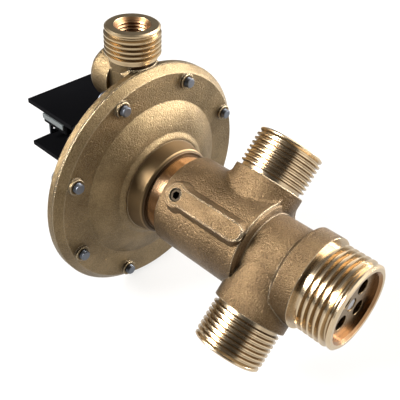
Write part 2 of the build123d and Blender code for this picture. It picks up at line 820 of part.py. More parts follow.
# Black plug in the open end of the stub
with BuildPart() as stub_plug:
    with BuildSketch(across(STUB_BACK, STUB_Z)):
        Circle(PLUG_R)
    extrude(amount=-2.5)
    fillet(stub_plug.edges().filter_by(GeomType.CIRCLE).sort_by(Axis.X)[0], 0.8)
    with BuildSketch(across(STUB_BACK, STUB_Z)):
        Circle(TOP_BORE_R - TAP)
    extrude(amount=5)
    with BuildSketch(across(STUB_BACK - 2.5, STUB_Z)):
        RegularPolygon(2.5, 6, major_radius=False)
    extrude(amount=2.5, mode=Mode.SUBTRACT)
stub_plug.part.label = "stub_plug"
export_step(stub_plug.part, "parts/stub_plug.step")

# Black bracket: front wall, two plates, a side wall, lugs and pegs
plate_long = WALL_X - WALL - BRACKET_BACK
plate_mid = (WALL_X - WALL + BRACKET_BACK) / 2
lug_in = LEVER_HALF + APART
peg_spots = ((-141.5, -12.0), (-135.5, 6.0))
with BuildPart() as switch_bracket:
    with BuildSketch(across(WALL_X)):
        with Locations((0, (UPPER_Z + BRACKET_FOOT) / 2)):
            RectangleRounded(2 * BRACKET_HALF, UPPER_Z - BRACKET_FOOT, 1.5)
        Circle(BOSS_R + APART, mode=Mode.SUBTRACT)
        with Locations((-BRACKET_SCREW_Y, BRACKET_SCREW_Z), (BRACKET_SCREW_Y, BRACKET_SCREW_Z)):
            Circle(1.7, mode=Mode.SUBTRACT)
    extrude(amount=-WALL)
    for top in (UPPER_Z, LOWER_Z):
        with BuildSketch(Plane.XY.offset(top)):
            with Locations((plate_mid, 0)):
                Rectangle(plate_long, 2 * BRACKET_HALF)
        extrude(amount=-WALL)
    with BuildSketch(Plane.XY.offset(LOWER_Z)):
        with Locations((plate_mid, BRACKET_HALF - WALL / 2)):
            Rectangle(plate_long, WALL)
    extrude(amount=UPPER_Z - LOWER_Z)
    # slot in the lower plate for the lever
    with BuildSketch(Plane.XY.offset(LOWER_Z)):
        with Locations(((WALL_X - WALL - 140) / 2, 0)):
            Rectangle(140 + WALL_X - WALL, 2 * LEVER_HALF + 2)
    extrude(amount=-WALL, mode=Mode.SUBTRACT)
    # lugs of the lever's pin
    with BuildSketch(Plane.XY.offset(UPPER_Z - WALL)):
        for side in (-1, 1):
            with Locations((LEVER_X, side * (lug_in + 0.8))):
                Rectangle(4.4, 1.6)
    extrude(amount=-(UPPER_Z - WALL - LEVER_Z + 2.2))
    with BuildSketch(Plane(origin=(LEVER_X, 0, LEVER_Z), x_dir=(1, 0, 0), z_dir=(0, 1, 0))):
        Circle(LEVER_PIN_R + TAP)
    extrude(amount=10, both=True, mode=Mode.SUBTRACT)
    # pegs that hold the switch
    with BuildSketch(Plane.XY.offset(UPPER_Z - WALL)):
        with Locations(*peg_spots):
            Circle(1.4)
    extrude(amount=-(SWITCH_THICK - 0.6))
switch_bracket.part.label = "switch_bracket"
export_step(switch_bracket.part, "parts/switch_bracket.step")

with BuildPart() as bracket_screws:
    with BuildSketch(across(WALL_X - WALL)):
        with Locations((-BRACKET_SCREW_Y, BRACKET_SCREW_Z), (BRACKET_SCREW_Y, BRACKET_SCREW_Z)):
            Circle(3.0)
    extrude(amount=-2.2)
    fillet(bracket_screws.edges().filter_by(GeomType.CIRCLE).sort_by(Axis.X)[:2], 1.0)
    with BuildSketch(across(WALL_X - WALL)):
        with Locations((-BRACKET_SCREW_Y, BRACKET_SCREW_Z), (BRACKET_SCREW_Y, BRACKET_SCREW_Z)):
            Circle(1.5)
    extrude(amount=WALL + 4.5)
    with BuildSketch(across(WALL_X - WALL - 2.2)):
        with Locations((-BRACKET_SCREW_Y, BRACKET_SCREW_Z), (BRACKET_SCREW_Y, BRACKET_SCREW_Z)):
            Rectangle(3.4, 0.8)
            Rectangle(0.8, 3.4)
    extrude(amount=1.2, mode=Mode.SUBTRACT)
bracket_screws.part.label = "bracket_screws"
export_step(bracket_screws.part, "parts/bracket_screws.step")

# Microswitch: body, grey lid on its near end, plunger and three blades
switch_top = UPPER_Z - WALL
switch_bottom = switch_top - SWITCH_THICK
switch_mid = ((SWITCH_FRONT + SWITCH_BACK) / 2, (SWITCH_Y0 + SWITCH_Y1) / 2)
with BuildPart() as switch_body:
    with BuildSketch(Plane.XY.offset(switch_top)):
        with Locations(switch_mid):
            RectangleRounded(SWITCH_FRONT - SWITCH_BACK, SWITCH_Y1 - SWITCH_Y0, 1.2)
        with Locations(*peg_spots):
            Circle(1.4 + TAP, mode=Mode.SUBTRACT)
    extrude(amount=-SWITCH_THICK)
    with BuildSketch(across(SWITCH_FRONT, PLUNGER_Z)):
        Circle(PLUNGER_R + RUN)
    extrude(amount=-4, mode=Mode.SUBTRACT)
switch_body.part.label = "switch_body"
export_step(switch_body.part, "parts/switch_body.step")

with BuildPart() as switch_lid:
    with BuildSketch(Plane.XY.offset(switch_bottom + 4.2)):
        with Locations((switch_mid[0], SWITCH_Y0 - 0.4)):
            Rectangle(SWITCH_FRONT - SWITCH_BACK - 2.4, 0.8)
    extrude(amount=-2.1)
switch_lid.part.label = "switch_lid"
export_step(switch_lid.part, "parts/switch_lid.step")

with BuildPart() as switch_plunger:
    with BuildSketch(across(SWITCH_FRONT + PLUNGER_OUT, PLUNGER_Z)):
        Circle(PLUNGER_R)
    extrude(amount=-(PLUNGER_OUT + 2.6))
    fillet(switch_plunger.edges().filter_by(GeomType.CIRCLE).sort_by(Axis.X)[-1], 0.5)
switch_plunger.part.label = "switch_plunger"
export_step(switch_plunger.part, "parts/switch_plunger.step")

with BuildPart() as switch_terminals:
    for y in (-14.5, -6.0, 3.5):
        with BuildSketch(Plane.XY.offset(switch_bottom)):
            with Locations((SWITCH_BACK + 2.5, y)):
                Rectangle(0.8, 4.8)
        extrude(amount=-6.0)
        with BuildSketch(across(SWITCH_BACK + 2.1, switch_bottom - 3.6, y)):
            Circle(0.9)
        extrude(amount=0.8, mode=Mode.SUBTRACT)
switch_terminals.part.label = "switch_terminals"
export_step(switch_terminals.part, "parts/switch_terminals.step")

# Lever: eye round the pin, long blade to the spindle, nose to the plunger
nose_x = SWITCH_FRONT + PLUNGER_OUT + APART
with BuildPart() as switch_lever:
    with BuildSketch(Plane(origin=(LEVER_X, -LEVER_HALF, 0), x_dir=(1, 0, 0), z_dir=(0, -1, 0))):
        with Locations((0, LEVER_Z)):
            Circle(1.9)
        with Locations((0, (LEVER_Z - 3) / 2)):
            Rectangle(LEVER_THICK, LEVER_Z + 3)
        with Locations(((nose_x - LEVER_X) / 2, PLUNGER_Z - 0.2)):
            Rectangle(LEVER_X - nose_x, 2.0)
        with Locations((0, LEVER_Z)):
            Circle(LEVER_PIN_R + RUN, mode=Mode.SUBTRACT)
    extrude(amount=-2 * LEVER_HALF)
switch_lever.part.label = "switch_lever"
export_step(switch_lever.part, "parts/switch_lever.step")

with BuildPart() as lever_pin:
    with BuildSketch(Plane(origin=(LEVER_X, -lug_in - 1.9, LEVER_Z), x_dir=(1, 0, 0), z_dir=(0, -1, 0))):
        Circle(LEVER_PIN_R)
    extrude(amount=-2 * (lug_in + 1.9))
lever_pin.part.label = "lever_pin"
export_step(lever_pin.part, "parts/lever_pin.step")
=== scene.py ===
# %% [markdown]
# # Three-way diverter valve
# The imported part gives the shapes. This notebook gives them their finishes, adds the foot of the
# set screw's pad, a fine inner thread and soft parts inside the head, and sets the light
# and the camera.
# Lengths are metres: X runs out of the end port, Z is up along the small connection.

# %%
import json
import math

import bpy
from mathutils import Matrix, Vector


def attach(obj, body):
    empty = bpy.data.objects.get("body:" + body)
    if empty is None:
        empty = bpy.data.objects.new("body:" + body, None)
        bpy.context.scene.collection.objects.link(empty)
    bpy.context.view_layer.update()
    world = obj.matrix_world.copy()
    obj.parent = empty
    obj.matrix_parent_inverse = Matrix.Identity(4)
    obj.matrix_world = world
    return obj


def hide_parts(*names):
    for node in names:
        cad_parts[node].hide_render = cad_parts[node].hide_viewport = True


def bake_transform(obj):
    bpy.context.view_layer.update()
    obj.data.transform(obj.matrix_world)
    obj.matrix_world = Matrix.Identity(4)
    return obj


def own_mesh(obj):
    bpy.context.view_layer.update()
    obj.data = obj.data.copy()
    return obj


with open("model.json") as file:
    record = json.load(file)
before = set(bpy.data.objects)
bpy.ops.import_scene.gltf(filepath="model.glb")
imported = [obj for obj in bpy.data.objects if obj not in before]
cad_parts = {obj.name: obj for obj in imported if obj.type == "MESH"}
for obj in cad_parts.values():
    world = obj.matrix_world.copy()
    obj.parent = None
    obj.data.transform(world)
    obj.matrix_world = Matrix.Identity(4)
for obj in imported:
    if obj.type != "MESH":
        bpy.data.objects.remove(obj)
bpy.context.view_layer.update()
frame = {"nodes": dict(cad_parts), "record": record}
nodes = frame["nodes"]

# %% [markdown]
# ## Building blocks for the finishes
# Each effect is one shader node group with named inputs, so a finish is a short list of groups.


# %%
# a mix node's sockets for the factor, the two values and the result
MIX_SPOTS = {"RGBA": (0, 6, 7, 2), "FLOAT": (0, 2, 3, 0), "VECTOR": (0, 4, 5, 1)}


class Graph:
    """Adds and links nodes in one tree."""

    def __init__(self, tree):
        self.tree = tree

    def feed(self, node, inputs):
        """Links the inputs that get a socket, and sets the others."""
        for key, value in inputs.items():
            if isinstance(value, bpy.types.NodeSocket):
                self.tree.links.new(value, node.inputs[key])
            else:
                node.inputs[key].default_value = value

    def add(self, kind, inputs=None, **settings):
        node = self.tree.nodes.new(kind)
        for key, value in settings.items():
            setattr(node, key, value)
        self.feed(node, inputs or {})
        return node

    def place(self):
        """The point's place in the object's own frame."""
        return self.add("ShaderNodeTexCoord").outputs["Object"]

    def noise(self, place, scale, detail, roughness=0.5):
        return self.add(
            "ShaderNodeTexNoise",
            inputs={"Vector": place, "Scale": scale, "Detail": detail, "Roughness": roughness},
        ).outputs["Fac"]

    def dot(self, a, b):
        return self.add(
            "ShaderNodeVectorMath", operation="DOT_PRODUCT", inputs={0: a, 1: b}
        ).outputs["Value"]

    def math(self, operation, a, b=0.0, c=0.0, clamp=False):
        return self.add(
            "ShaderNodeMath", operation=operation, use_clamp=clamp, inputs={0: a, 1: b, 2: c}
        ).outputs[0]

    def ramp(self, value, low, high):
        """0 below low, 1 above high, smooth between."""
        return self.add(
            "ShaderNodeMapRange",
            interpolation_type="SMOOTHSTEP",
            inputs={"Value": value, "From Min": low, "From Max": high},
        ).outputs["Result"]

    def mix(self, factor, a, b, kind="RGBA"):
        """a where the factor is 0, b where it is 1."""
        node = self.add("ShaderNodeMix", data_type=kind)
        *spots, result = MIX_SPOTS[kind]
        self.feed(node, dict(zip(spots, (factor, a, b))))
        return node.outputs[result]


def new_group(name, inputs, outputs):
    """An empty shader node group: its graph, its given values and its output node."""
    tree = bpy.data.node_groups.new(name, "ShaderNodeTree")
    for label, kind, default in inputs:
        socket = tree.interface.new_socket(label, in_out="INPUT", socket_type=kind)
        socket.default_value = default
    for label, kind in outputs:
        tree.interface.new_socket(label, in_out="OUTPUT", socket_type=kind)
    g = Graph(tree)
    return g, g.add("NodeGroupInput").outputs, g.add("NodeGroupOutput")


FLOAT, COLOR, VECTOR = "NodeSocketFloat", "NodeSocketColor", "NodeSocketVector"
LENGTHWISE, UPWARD = (1, 0, 0), (0, 0, 1)

FLAT_COSINE, EDGE_COSINE = 0.995, 0.84  # between true and rounded normal
SHUT_SHARE, OPEN_SHARE = 0.35, 0.95  # share of the sky seen from a point

SWELL_SCALE, PIT_SCALE = 55.0, 900.0
LOW_TONE, HIGH_TONE, HALF = 0.3, 0.7, 0.5
CAST_ROUGH, CAST_GLOSS = 0.41, -0.12  # in the darkest tone, and its change to the lightest
PIT_EDGE, PIT_SHARE, SWELL_SHARE = 0.5, 0.35, 0.6

DRIFT_SCALE, DRIFT_ROUGH = 160.0, 0.12
PLASTIC_SCALE, PLASTIC_ROUGH, PLASTIC_DULL = 70.0, 0.34, 0.16


def edge_group():
    """How close a point is to a sharp outer edge, from a rounded normal."""
    g, given, out = new_group(
        "WornEdgeAndHighlight", [("Radius", FLOAT, 0.0006)], [("Edge", FLOAT), ("Normal", VECTOR)]
    )
    rounded = g.add("ShaderNodeBevel", samples=8, inputs={"Radius": given["Radius"]}).outputs[0]
    cosine = g.dot(rounded, g.add("ShaderNodeNewGeometry").outputs["Normal"])
    g.feed(out, {"Edge": g.ramp(cosine, FLAT_COSINE, EDGE_COSINE), "Normal": rounded})
    return g.tree


def corner_shade_group():
    """How open a point lies, for painted shade: 1 in the open, 0 in a sharp inner corner."""
    g, given, out = new_group("CornerShade", [("Reach", FLOAT, 0.002)], [("Open", FLOAT)])
    open_share = g.add(
        "ShaderNodeAmbientOcclusion", samples=6, inputs={"Distance": given["Reach"]}
    ).outputs["AO"]
    g.feed(out, {"Open": g.ramp(open_share, SHUT_SHARE, OPEN_SHARE)})
    return g.tree


def cast_group():
    """Sand-cast skin: fine grain with a few larger swells and darker hollows."""
    g, given, out = new_group(
        "SandCast",
        [
            ("Light", COLOR, (0.5, 0.38, 0.21, 1)),
            ("Dark", COLOR, (0.2, 0.13, 0.06, 1)),
            ("Grain", FLOAT, 1700.0),
        ],
        [("Color", COLOR), ("Roughness", FLOAT), ("Height", FLOAT)],
    )
    place = g.place()
    fine = g.noise(place, given["Grain"], 4.0, 0.62)
    swells = g.noise(place, SWELL_SCALE, 5.0, 0.6)
    pits = g.add(
        "ShaderNodeTexVoronoi", inputs={"Vector": place, "Scale": PIT_SCALE, "Randomness": 1.0}
    ).outputs["Distance"]
    fine_tone = g.ramp(fine, LOW_TONE, HIGH_TONE)
    swell_tone = g.ramp(swells, LOW_TONE, HIGH_TONE)
    tone = g.math("MULTIPLY_ADD", fine_tone, HALF, g.math("MULTIPLY", swell_tone, HALF))
    height = g.math("ADD", fine, g.math("MULTIPLY", g.ramp(pits, 0.0, PIT_EDGE), PIT_SHARE))
    g.feed(
        out,
        {
            "Color": g.mix(tone, given["Dark"], given["Light"]),
            "Roughness": g.math("MULTIPLY_ADD", tone, CAST_GLOSS, CAST_ROUGH),
            "Height": g.math("ADD", height, g.math("MULTIPLY", swells, SWELL_SHARE)),
        },
    )
    return g.tree


def turned_group():
    """Lathe marks: fine rings along a direction, with a slight drift of tone."""
    g, given, out = new_group(
        "Turned",
        [
            ("Light", COLOR, (0.9, 0.68, 0.36, 1)),
            ("Dark", COLOR, (0.7, 0.46, 0.2, 1)),
            ("Along", VECTOR, LENGTHWISE),
            ("Rings", FLOAT, 4200.0),
            ("Roughness", FLOAT, 0.12),
        ],
        [("Color", COLOR), ("Roughness", FLOAT), ("Height", FLOAT)],
    )
    place = g.place()
    line = g.add("ShaderNodeCombineXYZ", inputs={"X": g.dot(place, given["Along"])}).outputs[0]
    rings = g.noise(line, given["Rings"], 2.0, 0.7)
    drift = g.noise(place, DRIFT_SCALE, 2.0)
    tone = g.math("MULTIPLY_ADD", rings, HALF, g.math("MULTIPLY", drift, HALF))
    g.feed(
        out,
        {
            "Color": g.mix(tone, given["Dark"], given["Light"]),
            "Roughness": g.math("MULTIPLY_ADD", drift, DRIFT_ROUGH, given["Roughness"]),
            "Height": rings,
        },
    )
    return g.tree


def thread_group():
    """Fine thread: even grooves along a direction."""
    g, given, out = new_group(
        "FineThread",
        [("Along", VECTOR, LENGTHWISE), ("Pitch", FLOAT, 0.0008)],
        [("Height", FLOAT)],
    )
    turns = g.math("DIVIDE", g.dot(g.place(), given["Along"]), given["Pitch"])
    g.feed(out, {"Height": g.math("PINGPONG", turns, HALF)})
    return g.tree


def plastic_group():
    """Moulded plastic: a very fine texture and faint changes of gloss."""
    g, given, out = new_group(
        "Moulded",
        [("Grain", FLOAT, 2600.0)],
        [("Shade", FLOAT), ("Roughness", FLOAT), ("Height", FLOAT)],
    )
    place = g.place()
    fine = g.noise(place, given["Grain"], 3.0)
    broad = g.noise(place, PLASTIC_SCALE, 2.0)
    rough = g.math("MULTIPLY_ADD", broad, PLASTIC_DULL, PLASTIC_ROUGH)
    g.feed(out, {"Shade": broad, "Roughness": rough, "Height": fine})
    return g.tree


EDGE, CORNER_SHADE = edge_group(), corner_shade_group()
CAST, TURNED, THREAD, MOULDED = cast_group(), turned_group(), thread_group(), plastic_group()

# %% [markdown]
# ## Finishes
# A casting has raw skin and machined places, told apart by where a point lies on it.


# %%
def new_finish(name):
    """A material with its graph and its surface shader."""
    material = bpy.data.materials.new(name)
    material.use_nodes = True
    material.node_tree.nodes.clear()
    g = Graph(material.node_tree)
    shader = g.add("ShaderNodeBsdfPrincipled")
    g.add("ShaderNodeOutputMaterial", inputs={"Surface": shader.outputs[0]})
    return material, g, shader


def use(g, group, **inputs):
    return g.add("ShaderNodeGroup", node_tree=group, inputs=inputs).outputs


def bump(g, height, distance, strength, normal):
    return g.add(
        "ShaderNodeBump",
        inputs={"Strength": strength, "Distance": distance, "Height": height, "Normal": normal},
    ).outputs[0]


CAST_EDGE, FINE_EDGE = 0.0009, 0.0003  # radii within which edges look worn and get a painted highlight
SKIN_WEAR_AND_HIGHLIGHT, CUT_WEAR_AND_HIGHLIGHT = 0.38, -0.22  # share of wear and painted highlight on the skin's edges, and its change on a cut
# wear and painted highlight: edges are brightened towards this pale gold tone and made glossier
WEAR_AND_HIGHLIGHT_TONE, WORN_GLOSS = (0.90, 0.76, 0.54, 1), -0.12
# painted shade: corners that see little sky are darkened towards a near-black tone, within this
# reach
PAINTED_SHADE_REACH, PAINTED_SHADE_TONE = 0.0035, (0.03, 0.018, 0.008, 1)
SKIN_SHADE, CUT_SHADE = 0.88, -0.52  # share of painted shade in corners on the skin, and its change on a cut
SKIN_METALLIC, CUT_METALLIC = 0.94, 0.06  # on the skin, and its change on a cut
CUT_HEIGHT, CAST_BUMP = 0.012, 0.9
SKIN_GRAIN, BODY_GRAIN = (2400.0, 0.00028), (2050.0, 0.00042)  # how fine and how deep


def casting(name, machined, along, skin_tones, cut_tones, cut_rough, others, grain=SKIN_GRAIN):
    """Raw cast skin, machined where machined(g) is 1, with edges brightened as wear and painted
    highlight, and corners darkened as painted shade.

    others lists masks like machined, each with the tones and the roughness of the cuts it picks.
    """
    material, g, shader = new_finish(name)
    skin = use(g, CAST, Light=skin_tones[0], Dark=skin_tones[1], Grain=grain[0])
    cut = use(g, TURNED, Light=cut_tones[0], Dark=cut_tones[1], Along=along, Roughness=cut_rough)
    cut_color, cut_gloss = cut["Color"], cut["Roughness"]
    for picks, tones, rough in others:
        other = use(g, TURNED, Light=tones[0], Dark=tones[1], Along=along, Roughness=rough)
        picked = picks(g)
        cut_color = g.mix(picked, cut_color, other["Color"])
        cut_gloss = g.mix(picked, cut_gloss, other["Roughness"], kind="FLOAT")
    edge = use(g, EDGE, Radius=CAST_EDGE)
    share = machined(g)
    wear_and_highlight = g.math("MULTIPLY_ADD", share, CUT_WEAR_AND_HIGHLIGHT, SKIN_WEAR_AND_HIGHLIGHT)
    # painted shade: where little sky is seen, the colour is darkened towards a near-black tone
    painted_shade_share = g.math("SUBTRACT", 1.0, use(g, CORNER_SHADE, Reach=PAINTED_SHADE_REACH)["Open"])
    shade = g.math("MULTIPLY_ADD", share, CUT_SHADE, SKIN_SHADE)
    color = g.mix(share, skin["Color"], cut_color)
    # edges brightened: partly wear, partly a painted highlight
    color = g.mix(g.math("MULTIPLY", edge["Edge"], wear_and_highlight), color, WEAR_AND_HIGHLIGHT_TONE)
    color = g.mix(g.math("MULTIPLY", painted_shade_share, shade), color, PAINTED_SHADE_TONE)
    rough = g.mix(share, skin["Roughness"], cut_gloss, kind="FLOAT")
    skin_height = g.math("MULTIPLY", skin["Height"], g.math("SUBTRACT", 1.0, share))
    cut_height = g.math("MULTIPLY", cut["Height"], share)
    height = g.math("MULTIPLY_ADD", cut_height, CUT_HEIGHT, skin_height)
    true_normal = g.add("ShaderNodeNewGeometry").outputs["Normal"]
    base_normal = g.mix(share, edge["Normal"], true_normal, kind="VECTOR")
    g.feed(
        shader,
        {
            "Base Color": color,
            "Roughness": g.math("MULTIPLY_ADD", edge["Edge"], WORN_GLOSS, rough, clamp=True),
            "Normal": bump(g, height, grain[1], CAST_BUMP, base_normal),
            "Metallic": g.math("MULTIPLY_ADD", share, CUT_METALLIC, SKIN_METALLIC, clamp=True),
        },
    )
    return material


# each pair: where a mask is 0 and where it is 1, as a radius or a place along X, Z or a side port
BORE_WALL, SOCKET_WALL, SOCKET_MOUTH = (0.0142, 0.0140), (0.0168, 0.0166), (-0.0635, -0.0640)
END_PORT, SIDE_PORT, SIN_45 = (-0.0163, -0.0160), (0.0219, 0.0222), 0.70711
HUB_BACK, HUB_FRONT, HUB_RING = (-0.0924, -0.0922), (-0.0851, -0.0853), (-0.0862, -0.0858)
TOP_WALL, TOP_FLOOR, TOP_PORT = (0.0068, 0.0066), (0.035, 0.036), (0.0497, 0.0500)
BORE_X = -0.1096  # axis of the small connection


def place_of(g):
    """The three parts of the point's place."""
    parts = g.add("ShaderNodeSeparateXYZ", inputs={0: g.place()}).outputs
    return parts[0], parts[1], parts[2]


def radial(g, a, b):
    """Distance from an axis, from the places on the two others."""
    return g.math("SQRT", g.math("ADD", g.math("MULTIPLY", a, a), g.math("MULTIPLY", b, b)))


def body_bore(g):
    """The long bore with its chambers."""
    x, y, z = place_of(g)
    return g.ramp(radial(g, y, z), *BORE_WALL)


def body_machined(g):
    """The end port, both side ports, the bores and the socket in the tube's rear end."""
    x, y, z = place_of(g)
    side = g.math("ABSOLUTE", g.math("MULTIPLY", g.math("ADD", y, z), SIN_45))
    wall = g.ramp(radial(g, y, z), *SOCKET_WALL)
    socket = g.math("MULTIPLY", wall, g.ramp(x, *SOCKET_MOUTH))
    ends = g.math("MAXIMUM", g.ramp(x, *END_PORT), g.ramp(side, *SIDE_PORT))
    return g.math("MAXIMUM", ends, g.math("MAXIMUM", socket, body_bore(g)))


def front_machined(g):
    """The hub, the turned neck and everything in front of them."""
    return g.ramp(place_of(g)[0], *HUB_BACK)


def hub(g):
    """The hub alone, behind the turned neck."""
    return g.ramp(place_of(g)[0], *HUB_FRONT)


def hub_face(g):
    """The hub's flat front ring."""
    return g.math("MULTIPLY", hub(g), g.ramp(place_of(g)[0], *HUB_RING))


def top_bore(g):
    """The bore of the small connection."""
    x, y, z = place_of(g)
    away = g.math("SUBTRACT", x, BORE_X)
    wall = g.ramp(radial(g, away, y), *TOP_WALL)
    return g.math("MULTIPLY", wall, g.ramp(z, *TOP_FLOOR))


def rear_machined(g):
    """The threaded connection and its bore."""
    return g.math("MAXIMUM", g.ramp(place_of(g)[2], *TOP_PORT), top_bore(g))


# light and dark tone of each finish
GOLD = (0.84, 0.68, 0.47, 1), (0.58, 0.43, 0.26, 1)
COPPER = (0.78, 0.50, 0.29, 1), (0.52, 0.30, 0.16, 1)
OLIVE = (0.72, 0.56, 0.35, 1), (0.48, 0.35, 0.20, 1)
HUB_BROWN = (0.24, 0.16, 0.083, 1), (0.16, 0.104, 0.049, 1)
# painted shade: the hub's front ring is the hub's brown, darkened further
HUB_FACE_PAINTED_SHADE = (0.085, 0.055, 0.028, 1), (0.05, 0.03, 0.015, 1)
# copper of the bores' inner walls, darkened as painted shade
BORE_COPPER_PAINTED_SHADE = (0.44, 0.25, 0.125, 1), (0.22, 0.115, 0.05, 1)
BROWN_SKIN = (0.27, 0.176, 0.090, 1), (0.062, 0.038, 0.018, 1)
PALE_SKIN = (0.315, 0.225, 0.117, 1), (0.085, 0.057, 0.027, 1)
body_bronze = casting(
    "body_bronze",
    body_machined,
    (1, 0.3, 0.3),
    BROWN_SKIN,
    GOLD,
    0.19,
    others=((body_bore, BORE_COPPER_PAINTED_SHADE, 0.2),),
    grain=BODY_GRAIN,
)
front_bronze = casting(
    "front_bronze",
    front_machined,
    LENGTHWISE,
    PALE_SKIN,
    COPPER,
    0.12,
    others=((hub, HUB_BROWN, 0.36), (hub_face, HUB_FACE_PAINTED_SHADE, 0.5)),
)
rear_bronze = casting(
    "rear_bronze",
    rear_machined,
    UPWARD,
    PALE_SKIN,
    OLIVE,
    0.24,
    others=((top_bore, BORE_COPPER_PAINTED_SHADE, 0.3),),
)


RING_BUMP, THREAD_BUMP, PLASTIC_BUMP = (0.00002, 0.3), 0.7, (0.00005, 0.35)
# share of edge brightening on metal: partly wear, partly a painted highlight
METAL_WEAR_AND_HIGHLIGHT = 0.5


def metal(name, light, dark, rough, pitch=None):
    """Turned or stamped metal, with a fine thread along it where a pitch is given."""
    material, g, shader = new_finish(name)
    cut = use(g, TURNED, Light=light, Dark=dark, Along=LENGTHWISE, Roughness=rough)
    edge = use(g, EDGE, Radius=FINE_EDGE)
    # edges brightened towards the light tone: partly wear, partly a painted highlight
    color = g.mix(g.math("MULTIPLY", edge["Edge"], METAL_WEAR_AND_HIGHLIGHT), cut["Color"], light)
    normal = bump(g, cut["Height"], *RING_BUMP, edge["Normal"])
    if pitch:
        grooves = use(g, THREAD, Along=LENGTHWISE, Pitch=pitch)["Height"]
        normal = bump(g, grooves, pitch, THREAD_BUMP, normal)
    g.feed(
        shader,
        {"Base Color": color, "Roughness": cut["Roughness"], "Normal": normal, "Metallic": 1.0},
    )
    return material


def plastic(name, color, dark, rough, specular=0.5):
    """Moulded plastic or rubber."""
    material, g, shader = new_finish(name)
    skin = use(g, MOULDED)
    edge = use(g, EDGE, Radius=FINE_EDGE)
    g.feed(
        shader,
        {
            "Base Color": g.mix(skin["Shade"], dark, color),
            "Roughness": g.math("ADD", skin["Roughness"], rough, clamp=True),
            "Normal": bump(g, skin["Height"], *PLASTIC_BUMP, edge["Normal"]),
            "Specular IOR Level": specular,
        },
    )
    return material


brass = metal("turned_brass", *GOLD, 0.15)
steel = metal("bright_steel", (0.66, 0.66, 0.67, 1), (0.45, 0.45, 0.47, 1), 0.2)
zinc = metal("zinc_plate", (0.22, 0.235, 0.265, 1), (0.10, 0.11, 0.13, 1), 0.34, pitch=0.0007)
# painted shade: the seat insert's brass is darkened, as it sits inside the end port
insert_brass_painted_shade = metal("insert_brass_painted_shade", (0.34, 0.24, 0.13, 1), (0.18, 0.12, 0.06, 1), 0.2)
dark_steel = metal("dark_steel", (0.03, 0.023, 0.015, 1), (0.016, 0.012, 0.008, 1), 0.45)
wire = metal("spring_wire", (0.5, 0.5, 0.5, 1), (0.3, 0.3, 0.31, 1), 0.28)
rubber = plastic("black_rubber", (0.02, 0.02, 0.02, 1), (0.012, 0.012, 0.012, 1), 0.25, 0.3)
black = plastic("black_plastic", (0.0035, 0.0035, 0.004, 1), (0.002, 0.002, 0.0025, 1), 0.1, 0.02)
grey = plastic("grey_plastic", (0.10, 0.11, 0.11, 1), (0.07, 0.08, 0.08, 1), 0.1)
cream = plastic("cream_plastic", (0.74, 0.70, 0.58, 1), (0.62, 0.58, 0.47, 1), 0.1)

BY_SLOT = {
    "machined_brass": brass,
    "steel": steel,
    "zinc_steel": zinc,
    "rubber": rubber,
    "spring_steel": wire,
    "black_plastic": black,
    "grey_plastic": grey,
    "cream_plastic": cream,
}
BY_NODE = {
    "valve_body": body_bronze,
    "front_cover": front_bronze,
    "rear_cover": rear_bronze,
    "grub_screw": dark_steel,
    "seat_insert": insert_brass_painted_shade,
}
slot_of = {entry["node"]: entry["material_slot"] for entry in frame["record"]["subparts"]}
for name, piece in nodes.items():
    finish = BY_NODE.get(name) or BY_SLOT[slot_of[name]]
    if not piece.data.materials:
        piece.data.materials.append(finish)
    for index in range(len(piece.data.materials)):
        piece.data.materials[index] = finish

# %% [markdown]
# ## Foot of the pad and rib
# The casting widens under the set screw's pad and along its rib.


# %%
def loops_piece(name, loops, finish, closed=False, smooth=True):
    """A mesh piece through equal loops of points; closed joins the last loop to the first."""
    count = len(loops[0])
    faces = []
    for row in range(len(loops) if closed else len(loops) - 1):
        here, after = row * count, (row + 1) % len(loops) * count
        for spot in range(count):
            beside = (spot + 1) % count
            faces.append((here + spot, here + beside, after + beside, after + spot))
    mesh = bpy.data.meshes.new(name)
    mesh.from_pydata([point for loop in loops for point in loop], [], faces)
    mesh.polygons.foreach_set("use_smooth", [smooth] * len(faces))
    mesh.materials.append(finish)
    piece = bpy.data.objects.new(name, mesh)
    bpy.context.collection.objects.link(piece)
    return piece


PAD_X, RIB_END_X, RIB_NOSE = -0.071, -0.0435, 0.00315
PAD_WAY = Vector((0.0, -1.0, 1.0)).normalized()
ACROSS = PAD_WAY.cross(Vector((1.0, 0.0, 0.0)))
# radius at the pad, half width at the rib, height over the axis
FOOT_LOOPS = (
    (0.0040, 0.0030, 0.02119),
    (0.0046, 0.0032, 0.02119),
    (0.0049, 0.0035, 0.0209),
    (0.0055, 0.0043, 0.0188),
    (0.0060, 0.0050, 0.0177),
    (0.0064, 0.0056, 0.0168),
    (0.0040, 0.0030, 0.0168),
)
ARC_STEPS, LINE_STEPS = 32, 16


def foot_outline(pad_radius, rib_half, height):
    """One closed loop round the pad and the rib at a height."""
    meet = math.asin(rib_half / pad_radius)
    flat = []
    for step in range(ARC_STEPS + 1):
        turn = meet + (2 * math.pi - 2 * meet) * step / ARC_STEPS
        flat.append((PAD_X + pad_radius * math.cos(turn), pad_radius * math.sin(turn)))
    start_x = flat[-1][0]
    for step in range(1, LINE_STEPS):
        flat.append((start_x + (RIB_END_X - start_x) * step / LINE_STEPS, -rib_half))
    for step in range(ARC_STEPS + 1):
        turn = -math.pi / 2 + math.pi * step / ARC_STEPS
        flat.append((RIB_END_X + RIB_NOSE * math.cos(turn), rib_half * math.sin(turn)))
    for step in range(1, LINE_STEPS):
        flat.append((RIB_END_X + (start_x - RIB_END_X) * step / LINE_STEPS, rib_half))
    return [Vector((x, 0, 0)) + ACROSS * side + PAD_WAY * height for x, side in flat]


foot_loops = [foot_outline(*loop) for loop in FOOT_LOOPS]
foot = loops_piece("pad_foot", foot_loops, body_bronze, closed=True)
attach(foot, "body")

# %% [markdown]
# ## Thread in the small connection
# Fine ridges on the wall of its bore, at the thread's pitch.

